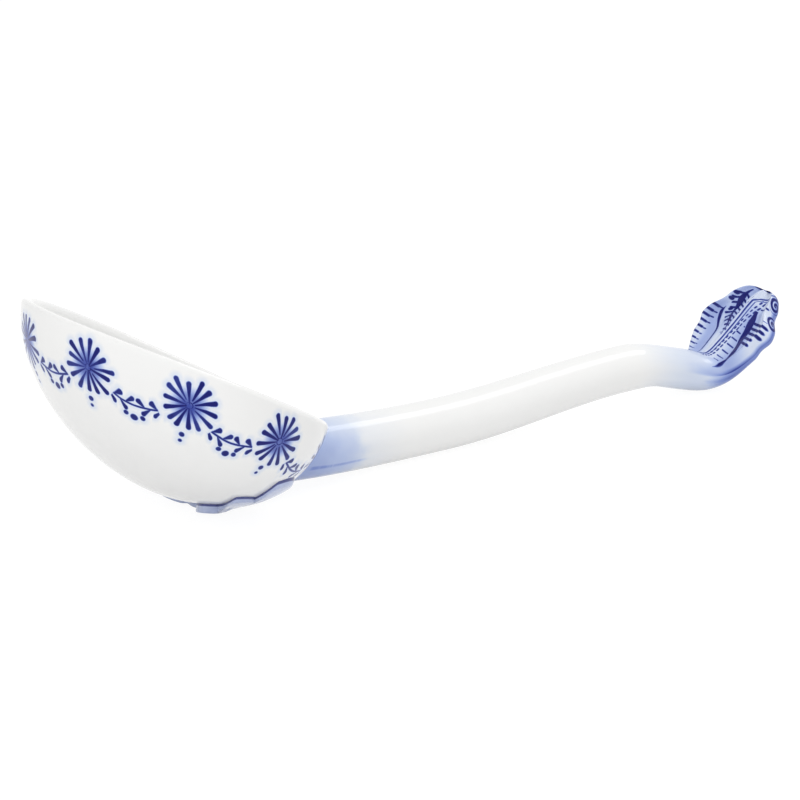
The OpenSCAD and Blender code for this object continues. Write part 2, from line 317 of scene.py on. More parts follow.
def skin(name, first, rings, last, **values):
    points = np.concatenate([[first], rings.reshape(-1, 3), [last]])
    return new_mesh(name, points, skin_faces(*rings.shape[:2]), **values)


def padded_values(first, rows, last):
    """Values for a skin: of its first point, its rings and its last point."""
    rows = np.asarray(rows)
    if rows.ndim == 3:
        return np.concatenate([[first], rows.reshape(-1, rows.shape[-1]), [last]])
    return np.concatenate([[first], rows.ravel(), [last]])


# Bowl
BOWL_SIDES = 216
SIDE_ROWS = 56
LIP_ROWS = 14
lip_r = BOWL_WALL / 2
side_start = np.degrees(np.arcsin((lip_r / BOWL_DEPTH) ** (BOWL_FULLNESS / 2)))


def side_profile(shrink):
    t = 90 - (90 - side_start) * np.arange(1, SIDE_ROWS + 1) / SIDE_ROWS
    return np.stack([(RIM_R - shrink) * cos(t) ** (2 / BOWL_FULLNESS),
                     (BOWL_DEPTH - shrink) * sin(t) ** (2 / BOWL_FULLNESS)], -1)


lip_turn = 180 * np.arange(1, LIP_ROWS) / LIP_ROWS
lip_profile = np.stack([RIM_R - lip_r + lip_r * cos(lip_turn), lip_r - lip_r * sin(lip_turn)], -1)
profile = np.concatenate([side_profile(0), lip_profile, side_profile(BOWL_WALL)[::-1]])
turns = 360 * np.arange(BOWL_SIDES) / BOWL_SIDES
bowl_rings = wall_point(profile[:, :1], profile[:, 1:], turns[None, :])
outer_pole = wall_point(0.0, BOWL_DEPTH, 0.0)
inner_pole = wall_point(0.0, BOWL_DEPTH - BOWL_WALL, 0.0)
walk = np.linalg.norm(np.diff(bowl_rings, axis=0), axis=-1)
crest_row = SIDE_ROWS + LIP_ROWS // 2 - 1
rim_run = np.concatenate([np.zeros((1, BOWL_SIDES)), np.cumsum(walk, 0)])
rim_run = rim_run[crest_row] - rim_run
compass = np.broadcast_to(np.stack([cos(turns), sin(turns), 0 * turns], -1), bowl_rings.shape)
radius = np.broadcast_to(profile[:, :1], rim_run.shape)
bowl = skin("bowl_glazed", outer_pole, bowl_rings, inner_pole,
            rim_run=padded_values(rim_run[0].max(), rim_run, rim_run[-1].min()),
            rim_turn=padded_values((1, 0, 0), compass, (1, 0, 0)),
            rim_radius=padded_values(0, radius, 0))

# Handle: one skin from inside the bowl's wall to the shell's end, cut in two at the neck
STEM_ROWS = 150
LEAD_ROWS = 14
SINK = 0.8
CAP_SINK = 0.5
LEAST_LENGTH = 1e-9
round_across = face_share
round_up = np.concatenate([dome(face_v, 2), -sin(back_turn)])
lead_ring = stem_ring(np.full(len(round_up), lead_x), lead_r * round_across, lead_r * round_up)
foot_ring = reach(lead_ring, lead_way, -SINK, RIM_R)
foot_middle = reach(np.array([[lead_x, 0, float(stem_z(lead_x))]]), lead_way, -SINK, RIM_R)[0]
stem_rings = [foot_ring + (lead_ring - foot_ring) * row / LEAD_ROWS for row in range(LEAD_ROWS)]
for x in np.linspace(lead_x, neck_x, STEM_ROWS):
    r = float(stem_r(x))
    stem_rings.append(stem_ring(np.full(len(round_up), x), r * round_across, r * round_up))
neck_way = np.array([cos(neck_heading), 0, sin(neck_heading)])
shell_start = np.array([neck_x, 0, neck_z]) + NECK_GAP * neck_way
shell_rings = []
for s in shell_s[:-1]:
    across, up = section(s)
    way = heading(s)
    at_x = shell_start[0] + np.interp(s, fine_s, fine_x)
    at_z = shell_start[2] + np.interp(s, fine_s, fine_z)
    shell_rings.append(np.stack([at_x - up * sin(way), across, at_z + up * cos(way)], -1))
shell_end = shell_start + np.array([fine_x[-1], 0, fine_z[-1]])
stem_rings = np.array(stem_rings)
shell_rings = np.array(shell_rings)
handle_rings = np.concatenate([stem_rings, shell_rings])
along_way = np.gradient(handle_rings, axis=0)
round_way = np.roll(handle_rings, -1, 1) - np.roll(handle_rings, 1, 1)
normals = np.cross(round_way, along_way)
normals /= np.maximum(np.linalg.norm(normals, axis=-1, keepdims=True), LEAST_LENGTH)
middles = handle_rings.mean(1)
handle_run = np.concatenate([[0], np.cumsum(np.linalg.norm(np.diff(middles, axis=0), axis=-1))])
handle_run = handle_run - handle_run[LEAD_ROWS] + LEAD_RUN
run_rows = np.broadcast_to(handle_run[:, None], handle_rings.shape[:2])
cut = len(stem_rings)
ring_place = np.stack([round_across, round_up, is_face], -1)
place_rows = np.broadcast_to(ring_place, handle_rings.shape)
middle_place = (0, 0, 0)
# Way round the section from its nearer edge in millimetres, below zero on the face, and its half width
ring_walk = np.linalg.norm(np.roll(handle_rings, -1, 1) - handle_rings, axis=-1)
round_run = np.cumsum(ring_walk, 1) - ring_walk
face_end = round_run[:, FACE_STEPS:FACE_STEPS + 1]
round_all = ring_walk.sum(1, keepdims=True)
edge_rows = np.where(is_face > 0, -np.minimum(round_run, face_end - round_run),
                     np.minimum(round_run - face_end, round_all - round_run))
wide_rows = np.broadcast_to(np.abs(handle_rings[..., 1]).max(1, keepdims=True), edge_rows.shape)


def handle_piece(name, first, rings, last, first_way, last_way, rows):
    points = np.concatenate([[first], rings.reshape(-1, 3), [last]])
    ways = np.concatenate([[first_way], normals[rows].reshape(-1, 3), [last_way]])
    return new_mesh(name, points, skin_faces(*rings.shape[:2]), normals=ways,
                    handle_run=padded_values(handle_run[rows][0], run_rows[rows], handle_run[rows][-1]),
                    handle_place=padded_values(middle_place, place_rows[rows], middle_place),
                    edge_out=padded_values(0, edge_rows[rows], 0),
                    half_wide=padded_values(0, wide_rows[rows], 0))


end_way = np.array([cos(SHELL_PITCH), 0, sin(SHELL_PITCH)])
joint_middle = handle_rings[cut].mean(0)
stem = handle_piece("stem_glazed", foot_middle, handle_rings[:cut + 1],
                    joint_middle - CAP_SINK * neck_way, lead_way, neck_way, slice(0, cut + 1))
shell = handle_piece("shell_glazed", joint_middle + CAP_SINK * neck_way, shell_rings,
                     shell_end, -neck_way, end_way, slice(cut, None))

# Slip fillet round the stem's root: a hollow curve between stem and bowl
FILLET_TURNS = 144
FILLET_STEPS = 10
FILLET_LEAST = 0.25
FILLET_SINK = 0.6
FILLET_OVERLAP = 0.05
fillet_turns = 360 * np.arange(FILLET_TURNS) / FILLET_TURNS
hollow = np.radians(np.linspace(0, 90, FILLET_STEPS))
out_share = np.concatenate([1 - np.sin(hollow), [-FILLET_SINK]])
up_share = np.concatenate([1 - np.cos(hollow), [-FILLET_SINK]])
fillet_size = SLIP_FILLET * (FILLET_LEAST + (1 - FILLET_LEAST) * (1 + sin(fillet_turns)) / 2)
fillet_sections = []
for out, rise in zip(out_share, up_share):
    r = lead_r + fillet_size * out - FILLET_OVERLAP
    start = stem_ring(np.full(FILLET_TURNS, lead_x), r * cos(fillet_turns), r * sin(fillet_turns))
    grow = fillet_size * rise - FILLET_OVERLAP
    fillet_sections.append(reach(start, lead_way, grow, RIM_R))
fillet_points = np.stack(fillet_sections, 1)
across_count = fillet_points.shape[1]
fillet_faces = []
for row in range(FILLET_TURNS):
    after = (row + 1) % FILLET_TURNS
    for k in range(across_count):
        nxt = (k + 1) % across_count
        fillet_faces.append((row * across_count + k, after * across_count + k,
                             after * across_count + nxt, row * across_count + nxt))
fillet = new_mesh("root_fillet", fillet_points.reshape(-1, 3), fillet_faces)

# Leaf: lobed outline round a heart on the bowl's underside, with a rounded edge and grooved veins
LEAF_TURNS = 480
LEAF_ROWS = 30
UNDER_ROWS = 6
HEART_RUN = 4.5
EDGE_ROUND = 0.5
VEIN_DEPTH = 0.18
VEIN_HALF = 0.45
VEIN_SET, VEIN_REACH = 0.12, 0.8
VEIN_START, VEIN_FADE_IN, VEIN_FADE_OUT = 2, 3, 4
UNDER_SINK = -0.15
LEAF_GAP = 0.4
# Raised pads at the heart and under the front lobe, which carry the bowl
PAD_FLAT, PAD_SLOPE = 3, 4
PAD_RUN, PAD_TURN = 8.05, 50.0
# Lobes on the far side lie thinner, so that no strip of them shows under the bowl
FAR_THIN, FAR_THIN_START, FAR_THIN_RUN = 0.75, 8, 6
# Each lobe is steep in front of its tip and long behind it.
# A row gives the turn of its start, tip and end, and its reach.
LOBES = (
    (20.0, 50.0, 120.0, LEAF_FRONT),
    (61.0, 67.5, 113.0, LEAF_SIDE),
    (80.0, 85.5, 138.0, LEAF_REAR),
)


def lobe(turn, start, tip, end):
    return np.where(turn < tip, ease((turn - start) / (tip - start)),
                    cos(90 * np.minimum((turn - tip) / (end - tip), 1)))


def leaf_reach(turn):
    return HEART_RUN + np.max([(far - HEART_RUN) * lobe(turn, *span) for *span, far in LOBES], 0)


def pad(along, across, place_along, place_across):
    away = np.hypot(along - place_along, across - place_across)
    return 1 - ease((away - PAD_FLAT) / PAD_SLOPE)


low_r = np.array([lead_r]) + CLEAR + FILLET_LEAST * SLIP_FILLET
low_start = stem_ring(np.array([lead_x]), np.zeros(1), -low_r)
slip_front = float(off_axis(reach(low_start, lead_way, CLEAR, RIM_R))[0][0])
heart = slip_front - LEAF_GAP - HEART_RUN
leaf_turns = 180 - 360 * np.arange(LEAF_TURNS) / LEAF_TURNS
outline = leaf_reach(np.abs(leaf_turns))


def leaf_ring(share, face):
    r = outline * share
    along, across = r * cos(leaf_turns), r * sin(np.abs(leaf_turns))
    front_pad = pad(along, across, PAD_RUN * cos(PAD_TURN), PAD_RUN * sin(PAD_TURN))
    rise = LEAF_EDGE + (LEAF_THICK - LEAF_EDGE) * np.maximum(pad(along, across, 0, 0), front_pad)
    edge = np.clip(1 - (outline - r) / EDGE_ROUND, 0, 1)
    grow = (LEAF_BASE + rise) * np.sqrt(1 - edge ** 2)
    grow = grow * (1 - FAR_THIN * ease((r * sin(leaf_turns) - FAR_THIN_START) / FAR_THIN_RUN))
    vein = np.zeros(LEAF_TURNS)
    for start, tip, end, far in LOBES:
        middle = np.abs(leaf_turns) - tip - VEIN_SET * (end - tip)
        beside = np.abs(r * sin(middle))
        ahead = r * cos(middle)
        fade = ease((ahead - VEIN_START) / VEIN_FADE_IN)
        fade = fade * ease((VEIN_REACH * far - ahead) / VEIN_FADE_OUT)
        vein = np.maximum(vein, hump(beside, 0, VEIN_HALF) * fade)
    grow = np.where(face, grow - VEIN_DEPTH * vein, UNDER_SINK)
    return on_bowl(heart - r * cos(leaf_turns), r * sin(leaf_turns), grow), grow, vein


leaf_rows = [leaf_ring(sin(90 * row / LEAF_ROWS), True) for row in range(1, LEAF_ROWS + 1)]
leaf_rows += [leaf_ring(row / UNDER_ROWS, False) for row in range(UNDER_ROWS, 0, -1)]
leaf_rings, rise_rows, vein_rows = [np.array(rows) for rows in zip(*leaf_rows)]
leaf = skin("leaf_glazed", on_bowl(heart, 0.0, LEAF_LIFT), leaf_rings, on_bowl(heart, 0.0, UNDER_SINK),
            leaf_rise=padded_values(LEAF_LIFT, rise_rows, UNDER_SINK),
            leaf_vein=padded_values(0, vein_rows, 0))


class Wire:
    """A number that flows through a shader's nodes, so that paint is written as plain sums."""

    def __init__(self, socket):
        self.socket = socket

    def __add__(self, other):
        return calc("ADD", self, other)

    def __sub__(self, other):
        return calc("SUBTRACT", self, other)

    def __rsub__(self, other):
        return calc("SUBTRACT", other, self)

    def __mul__(self, other):
        return calc("MULTIPLY", self, other)

    def __truediv__(self, other):
        return calc("DIVIDE", self, other)

    def __abs__(self):
        return calc("ABSOLUTE", self)

    __radd__ = __add__
    __rmul__ = __mul__


def tree_of(*terms):
    return next(term.socket.id_data for term in terms if isinstance(term, Wire))


def plug(term, socket):
    if isinstance(term, Wire):
        term.socket.id_data.links.new(term.socket, socket)
    else:
        socket.default_value = term


def calc(operation, *terms, clamp=False):
    node = tree_of(*terms).nodes.new("ShaderNodeMath")
    node.operation = operation
    node.use_clamp = clamp
    for term, socket in zip(terms, node.inputs):
        plug(term, socket)
    return Wire(node.outputs[0])


def least(*terms):
    best = terms[0]
    for term in terms[1:]:
        best = calc("MINIMUM", best, term)
    return best


def most(*terms):
    best = terms[0]
    for term in terms[1:]:
        best = calc("MAXIMUM", best, term)
    return best


def hypot(x, y):
    return calc("SQRT", calc("MULTIPLY_ADD", x, x, y * y))


def step(value, low, high, start=0.0, end=1.0):
    """Smooth change from start to end as a value goes from low to high."""
    node = tree_of(value, low, high).nodes.new("ShaderNodeMapRange")
    node.interpolation_type = "SMOOTHSTEP"
    rising = isinstance(low, Wire) or isinstance(high, Wire) or low < high
    if not rising:
        low, high, start, end = high, low, end, start
    terms = {"Value": value, "From Min": low, "From Max": high, "To Min": start, "To Max": end}
    for name, term in terms.items():
        plug(term, node.inputs[name])
    return Wire(node.outputs[0])


def stroke(x, y, start, end, start_half, end_half):
    """Distance from a brush stroke that swells or thins from its start to its end."""
    run_x, run_y = end[0] - start[0], end[1] - start[1]
    off_x, off_y = x - start[0], y - start[1]
    square = run_x * run_x + run_y * run_y
    t = calc("MULTIPLY", calc("MULTIPLY_ADD", off_x, run_x, off_y * run_y), 1 / square, clamp=True)
    gap = hypot(calc("MULTIPLY_ADD", t, -run_x, off_x), calc("MULTIPLY_ADD", t, -run_y, off_y))
    return gap - calc("MULTIPLY_ADD", t, end_half - start_half, start_half)


def dot(x, y, at_x, at_y, half):
    return hypot(x - at_x, y - at_y) - half


def middle_of(value, period):
    """Place within a repeat, from minus to plus half a period, and the repeat's number."""
    count = calc("FLOOR", value / period)
    return (value / period - count - 0.5) * period, count


def layer(tree, name):
    """Value that the mesh holds at its vertices."""
    node = tree.nodes.new("ShaderNodeAttribute")
    node.attribute_name = name
    return Wire(node.outputs["Fac"])


def layers(tree, name):
    node = tree.nodes.new("ShaderNodeAttribute")
    node.attribute_name = name
    parts = tree.nodes.new("ShaderNodeSeparateXYZ")
    tree.links.new(node.outputs["Vector"], parts.inputs[0])
    return [Wire(out) for out in parts.outputs]


def object_place(tree):
    """Place in millimetres."""
    node = tree.nodes.new("ShaderNodeTexCoord")
    parts = tree.nodes.new("ShaderNodeSeparateXYZ")
    tree.links.new(node.outputs["Object"], parts.inputs[0])
    return [Wire(out) / MM for out in parts.outputs]


def vector(x, y, z):
    node = tree_of(x, y, z).nodes.new("ShaderNodeCombineXYZ")
    for term, socket in zip((x, y, z), node.inputs):
        plug(term, socket)
    return node.outputs[0]


def noise(place, size, detail=2.0, stretch=(1, 1, 1)):
    """Smooth noise from about -0.5 to 0.5 with features of a size in millimetres."""
    x, y, z = [term * (1 / (size * pull)) for term, pull in zip(place, stretch)]
    tree = tree_of(x, y, z)
    node = tree.nodes.new("ShaderNodeTexNoise")
    node.inputs["Scale"].default_value = 1.0
    node.inputs["Detail"].default_value = detail
    tree.links.new(vector(x, y, z), node.inputs["Vector"])
    return Wire(node.outputs["Fac"]) - 0.5


def chance(first, second):
    """A number from -0.5 to 0.5 for each pair of counts. A plain second number tells draws apart."""
    tree = tree_of(first, second)
    node = tree.nodes.new("ShaderNodeTexWhiteNoise")
    node.noise_dimensions = "2D"
    tree.links.new(vector(first, second, 0.0), node.inputs["Vector"])
    return Wire(node.outputs["Value"]) - 0.5


# Body colour and how cobalt under the glaze tints it, from none to a full brush
BODY = (0.88, 0.88, 0.872)
COBALT = (
    (0.0, (1, 1, 1)),
    (0.1, (0.8, 0.86, 0.985)),
    (0.22, (0.56, 0.66, 0.94)),
    (0.42, (0.27, 0.36, 0.76)),
    (0.65, (0.05, 0.08, 0.4)),
    (1.0, (0.001, 0.004, 0.16)),
)
GLAZE_GLOSS = 0.2
MOTTLE_SIZE, MOTTLE = 9.0, 0.03
SHEEN_SIZE, SHEEN, SHEEN_VARIES = 5.0, 0.09, 0.06
RIPPLE_SIZE, RIPPLE_STRENGTH, RIPPLE_HEIGHT = 7.0, 0.12, 0.0004


def glazed(name, paint, richness):
    """Glossy glaze over a white body, with cobalt where paint says."""
    material = bpy.data.materials.new(name)
    material.use_nodes = True
    tree = material.node_tree
    shader = tree.nodes["Principled BSDF"]
    shader.inputs["Specular IOR Level"].default_value = GLAZE_GLOSS
    place = object_place(tree)
    ramp = tree.nodes.new("ShaderNodeValToRGB")
    bands = ramp.color_ramp.elements
    while len(bands) < len(COBALT):
        bands.new(0.5)
    for band, (depth, tint) in zip(bands, COBALT):
        band.position = depth
        band.color = (*[body * share for body, share in zip(BODY, tint)], 1)
    plug(paint(tree, place), ramp.inputs["Fac"])
    tone = tree.nodes.new("ShaderNodeHueSaturation")
    plug(noise(place, MOTTLE_SIZE) * MOTTLE + 1.0, tone.inputs["Value"])
    tone.inputs["Saturation"].default_value = richness
    tree.links.new(ramp.outputs["Color"], tone.inputs["Color"])
    tree.links.new(tone.outputs["Color"], shader.inputs["Base Color"])
    plug(noise(place, SHEEN_SIZE) * SHEEN_VARIES + SHEEN, shader.inputs["Roughness"])
    bump = tree.nodes.new("ShaderNodeBump")
    bump.inputs["Strength"].default_value = RIPPLE_STRENGTH
    bump.inputs["Distance"].default_value = RIPPLE_HEIGHT
    plug(noise(place, RIPPLE_SIZE, 1.0), bump.inputs["Height"])
    tree.links.new(bump.outputs["Normal"], shader.inputs["Normal"])
    return material


INK_SOFT, INK_GRAIN, INK_VARIES = 0.2, 1.5, 0.3
BLEED, BLEED_TONE = 1.5, 0.1


def inked(gap, place, load):
    """Cobalt of a brush stroke from the distance to its edge: a dark core, a soft edge and a pale bleed."""
    uneven = noise(place, INK_GRAIN) * INK_VARIES + load
    core = step(gap, INK_SOFT, -INK_SOFT) * uneven
    bleed = step(gap, BLEED, 0.0) * BLEED_TONE
    return most(core, bleed)


def washed(value, fade):
    """Tone of a wash that comes in from one place to another."""
    none, full, tone = fade
    return step(value, none, full) * tone


def between(value, places):
    """1 between the middle two of four places, fading to 0 at the outer two."""
    start, risen, falling, end = places
    return step(value, start, risen) * step(value, end, falling)


def within(gap, s, span):
    """Distance from strokes that are kept to a span along the shell."""
    start, end = span
    return most(gap, start - s, s - end)


def bar_gap(x, y, low, high, half):
    """Distance from a straight bar along y between two heights."""
    return hypot(x, y - most(least(y, high), low)) - half


# Border of the bowl: blossoms below the rim with leafy swags between them
BLOSSOMS = 9
BLOSSOM_RUN = 8.7
BLOSSOM_SPAN = 2 * math.pi / BLOSSOMS
BLOSSOM_TURN = 0.4
PETALS = 14
PETAL_START, PETAL_END = 1.0, 5.4
PETAL_THIN, PETAL_BROAD = 0.2, 0.56
PETAL_TURN, PETAL_SHIFT, PETAL_LOAD = 0.12, 1.3, 0.3
EYE_R, EYE_HALF = 0.75, 0.16
BLOOM_OUT, BLOOM_IN = 5.6, 1.0
BLOOM_GRAIN, BLOOM_VARIES, BLOOM_TONE = 2.5, 0.35, 0.62
SWAG_TOP, SWAG_DIP = 8.4, 5.0
SWAG_HALF = math.pi * RIM_R / BLOSSOMS
SWAG_END = 6.9
SWAG_EXTRA = 2 / 3 * SWAG_DIP * SWAG_DIP / SWAG_HALF
SWAG_RUN = SWAG_HALF + SWAG_EXTRA
SPINE_HALF = 0.24
LEAFLET = 1.5
LEAFLET_FOOT, LEAFLET_TIP = (-0.7, 0.2), (0.75, 1.4)
LEAFLET_THIN, LEAFLET_BROAD = 0.16, 0.6
DROPS = ((7.4, 0.62), (9.1, 0.44))
BERRIES = ((0.0, 3.0, 0.8), (1.8, 2.5, 0.58))
GARLAND_LOAD = 0.96
STEM_CLEAR, STEM_FADE = 0.33, 0.05
SPOT_CLEAR, SPOT_CUT = 1.25, 10.0
LIP_START, LIP_END = 0.5, 1.5
WAVER_SIZE, WAVER_RUN, WAVER_TURN = 6.0, 0.7, 0.02
ELSEWHERE = 40.0


def bowl_paint(tree, place):
    east, north, _ = layers(tree, "rim_turn")
    run = layer(tree, "rim_run") + noise(place, WAVER_SIZE) * WAVER_RUN
    radius = layer(tree, "rim_radius")
    elsewhere = [term + ELSEWHERE for term in place]
    turn = calc("ARCTAN2", north, east) + noise(elsewhere, WAVER_SIZE) * WAVER_TURN
    off, cell = middle_of(turn + BLOSSOM_SPAN / 2, BLOSSOM_SPAN)
    x = off * radius
    y = run - BLOSSOM_RUN
    # Blossom of tapered petals round a small eye, none on the stem's root
    far = hypot(x, y)
    bearing = calc("ARCTAN2", x, y) + chance(cell, 3.5) * BLOSSOM_TURN
    around = calc("WRAP", bearing, math.pi, -math.pi)
    petal_off, petal = middle_of(around, 2 * math.pi / PETALS)
    petal_off = petal_off + chance(petal, cell + 0.5) * PETAL_TURN
    petal_x = far * calc("COSINE", petal_off) + chance(petal, cell) * PETAL_SHIFT
    petal_y = far * calc("SINE", petal_off)
    petals = stroke(petal_x, petal_y, (PETAL_START, 0), (PETAL_END, 0), PETAL_THIN, PETAL_BROAD)
    eye = abs(far - EYE_R) - EYE_HALF
    away_from_stem = step(abs(turn), STEM_CLEAR, STEM_CLEAR + STEM_FADE)
    blossom = inked(least(petals, eye), place, chance(petal, cell + 0.25) * PETAL_LOAD + 1.0)
    bloom = step(far, BLOOM_OUT, BLOOM_IN) * (noise(place, BLOOM_GRAIN) * BLOOM_VARIES + BLOOM_TONE)
    # Swag of leaflets on both sides of a thin spine
    share = abs(off) * (2 / BLOSSOM_SPAN)
    rest = 1.0 - share
    slope = rest * (2 * SWAG_DIP / SWAG_HALF)
    away = (run - SWAG_TOP - SWAG_DIP * (1.0 - rest * rest)) / calc("SQRT", slope * slope + 1.0)
    length = share * SWAG_HALF + (1.0 - rest * rest * rest) * SWAG_EXTRA
    swag = abs(away) - SPINE_HALF
    short = SWAG_RUN - length
    for side, start in ((away, LEAFLET), (away * -1.0, 0.0)):
        leaf_off, _ = middle_of(start - short, 2 * LEAFLET)
        leaflet = stroke(leaf_off, side, LEAFLET_FOOT, LEAFLET_TIP, LEAFLET_THIN, LEAFLET_BROAD)
        swag = least(swag, most(leaflet, start - short))
    swag = most(swag, SWAG_END - far)
    # Berries at the middle of each swag and drops under each blossom, both left out near the leaf
    side = (BLOSSOM_SPAN / 2 - abs(off)) * radius
    bottom = SWAG_TOP + SWAG_DIP
    spots = least(*[dot(side, run, across, bottom + drop, half) for across, drop, half in BERRIES])
    spots = least(spots, *[dot(x, y, 0.0, drop, half) for drop, half in DROPS])
    spots = most(spots, (SPOT_CLEAR - abs(turn)) * SPOT_CUT)
    garland = inked(least(swag, spots), place, GARLAND_LOAD)
    outside = step(run, LIP_START, LIP_END)
    return most(most(blossom, bloom) * away_from_stem, garland) * outside


# Washes of the stem: the run where each is none, the run where it is full, and its tone
ROOT_BODY = (20.5, 15.5, 0.09)
ROOT_DEPTH = (20.0, 4.0, 0.15)
ROOT_TRAIL = (33.0, 14.0, 0.06)
ROOT_LINE = (20.0, 15.0, 0.14)
NECK_WASH = (92.0, 112.0, 0.13)
# Painted shade and highlight: this row goes by height round the stem, not by run. It is full on the
# underside and fades out towards the top.
PAINTED_UNDERSIDE_SHADE = (1.0, 0.2, 0.35)
LINE_DROP, LINE_SOFT, LINE_CORE, LINE_WAVER = 0.4, 0.08, 0.015, 0.3
BREAK_SIZE, BREAK_FADE = 3.0, (-0.25, 0.05)
# How far blotches and streaks of the brush shift the edges of the washes
BODY_BLOTCH, BODY_STREAK, DEPTH_BLOTCH = 6.0, 3.0, 8.0
TRAIL_STREAK, LINE_STREAK, NECK_STREAK = 12.0, 8.0, 5.0
STREAK_ROUND, STREAK_SIZE, STREAK_PULL = 5.0, 2.4, (9, 1, 1)
BLOTCH_SIZE, BRUSH_DETAIL = 4.5, 3.0


def stem_wash(run, across, up, place):
    """Brushed washes at both ends of the stem, the root's deepening towards the bowl, and painted shade and
    highlight: the root's washes are deeper underneath and paler along the top.
    """
    round_stem = [run, across * STREAK_ROUND, up * STREAK_ROUND]
    streak = noise(round_stem, STREAK_SIZE, BRUSH_DETAIL, STREAK_PULL)
    blotch = noise(place, BLOTCH_SIZE, BRUSH_DETAIL)
    # Painted shade underneath and a painted highlight along the top of the root's washes
    low = washed(up, PAINTED_UNDERSIDE_SHADE) + 1.0 - PAINTED_UNDERSIDE_SHADE[-1]
    body = washed(run + blotch * BODY_BLOTCH + streak * BODY_STREAK, ROOT_BODY)
    depth = washed(run + blotch * DEPTH_BLOTCH, ROOT_DEPTH)
    trail = washed(run + streak * TRAIL_STREAK, ROOT_TRAIL)
    broken = step(noise([run, run, run], BREAK_SIZE), *BREAK_FADE)
    line = step(abs(up + LINE_DROP + streak * LINE_WAVER), LINE_SOFT, LINE_CORE) * broken
    line = line * washed(run + streak * LINE_STREAK, ROOT_LINE)
    neck = washed(run + streak * NECK_STREAK, NECK_WASH)
    return (body + depth + trail) * low + line + neck


def stem_paint(tree, place):
    across, up, _ = layers(tree, "handle_place")
    return stem_wash(layer(tree, "handle_run"), across, up, place)


# Terminal: places across its face are shares of its half width,
# and spans along it are millimetres from the neck.
SHELL_RUN = float(handle_run[cut])
FACE_TONE, FLUTE_TONE, FLANK_TONE, QUILL_TONE = 0.07, 0.2, 0.42, 0.16
WOBBLE_SIZE, WOBBLE = 3.0, 0.35
LINE_WOBBLE, BEAD_WOBBLE = 0.3, 0.4
BOLD, FIRM, FINE = 1.05, 0.98, 0.95
# Lines along the face: place across at the start, change of place, and the change's start and end
RIB_LINE = (0.05, 0.85, 30.3, 34.4)
BEAD_LINE = (0.13, 0.25, 24.0, 34.0)
FLUTE_LINE = (0.32, 0.36, 18.0, 29.0)
QUILL_LINE = (0.1, 0.53, 21.0, 33.5)
RIB_FADE, RIB_END = (10.0, 2.0, 0.4), 33.9
RIB_THICK, RIB_THIN, RIB_STEP = 0.17, 0.1, 0.6
# Beads: step out from their line, half length and half thickness
BEADS = ((0.0, 0.2, 0.2), (0.75, 0.25, 0.22))
BEAD_STEP, BEAD_SPAN, BEAD_LOOSE = 1.3, (9.0, 31.5), 0.3
# Slanting stroke of the near flute, with barbs inside it and bars outside it
MAIN_PLACE, MAIN_DRIFT = 0.92, (9.0, 26.0, 0.56)
MAIN_SPAN, MAIN_SWELL, MAIN_POINT = (9.8, 28.6), (12.0, 21.0, 25.0, 29.0), (9.8, 12.5)
MAIN_BROAD, MAIN_THIN = 0.45, 0.32
BARB_STEP, BARB_SPAN, BARB_SLANT, BARB_LOOSE = 1.9, (12.0, 27.0), 0.2, 1.2
BARB_FOOT, BARB_CLEAR, BARB_HALF = 1.6, 1.2, 0.2
BAR_STEP, BAR_SPAN, BAR_SLANT, BAR_LOOSE = 1.4, (19.2, 26.4), 0.8, 0.25
BAR_FOOT, BAR_END, BAR_SHORT, BAR_HALF = 0.9, 0.93, 0.4, 0.36
SPUR_RUN, SPUR_IN, SPUR_OUT, SPUR_HALF = 29.4, 0.45, 0.9, 0.2
NEAR_WASH, NEAR_SOFT = (8.0, 14.0, 26.0, 31.5), (4.2, 0.4)
# Line of the far flute, feathered stroke, blots, spots and dashes of the far half
FLUTE_SWELL, FLUTE_POINT = (12.0, 21.0, 0.16, 0.34), (25.5, 28.6, 0.6)
FLUTE_FADE = (10.0, 1.0, 0.4)
FEATHER_SPAN, FEATHER_SWELL = (20.5, 33.4), (22.0, 28.5, 29.5, 33.5)
FEATHER_BROAD, FEATHER_THIN = 0.5, 0.2
VANE_STEP, VANE_SPAN, VANE_SWELL = 1.25, (20.5, 32.0), (20.0, 27.0, 30.0, 33.5)
VANE_SLANT, VANE_LOOSE, VANE_HALF = 0.5, 0.9, 0.28
VANE_LONG, VANE_SHORT = 1.2, 0.5
BLOTS = ((29.2, 0.75, 0.5), (30.9, 0.79, 0.45), (27.1, 0.52, 0.5))
SPOT_STEP, SPOT_SPAN, SPOT_LOOSE = 1.6, (20.0, 31.5), 0.1
SPOT_PLACE, SPOT_LONG, SPOT_HALF = 0.06, 0.15, 0.25
DASH_STEP, DASH_SPAN, DASH_LOOSE = 1.5, (9.0, 26.6), 0.4
DASH_OUT, DASH_IN, DASH_SHIFT = 0.82, 0.68, 0.4
DASH_LONG, DASH_START, DASH_STOP = 0.7, 0.35, 0.3
DASH_SWELL, DASH_THIN, DASH_FINER = (9.0, 24.0, 0.24), 0.1, 0.6
FAR_WASH, FAR_SOFT, FAR_STEP = (8.0, 14.0, 26.5, 30.5), (3.0, 0.5), 1.2
QUILL_WASH, QUILL_SOFT = (18.0, 24.0, QUILL_TONE), (3.6, 0.6)


def line_gap(s, v, wide, base, rise, start, end):
    """Signed distance from a line along the face whose place across changes smoothly by a rise."""
    t = calc("MULTIPLY", s - start, 1 / (end - start), clamp=True)
    slope = t * (1.0 - t) * (6 * rise / (end - start)) * wide
    return (v - base - t * t * (3.0 - t * 2.0) * rise) * wide / calc("SQRT", slope * slope + 1.0)


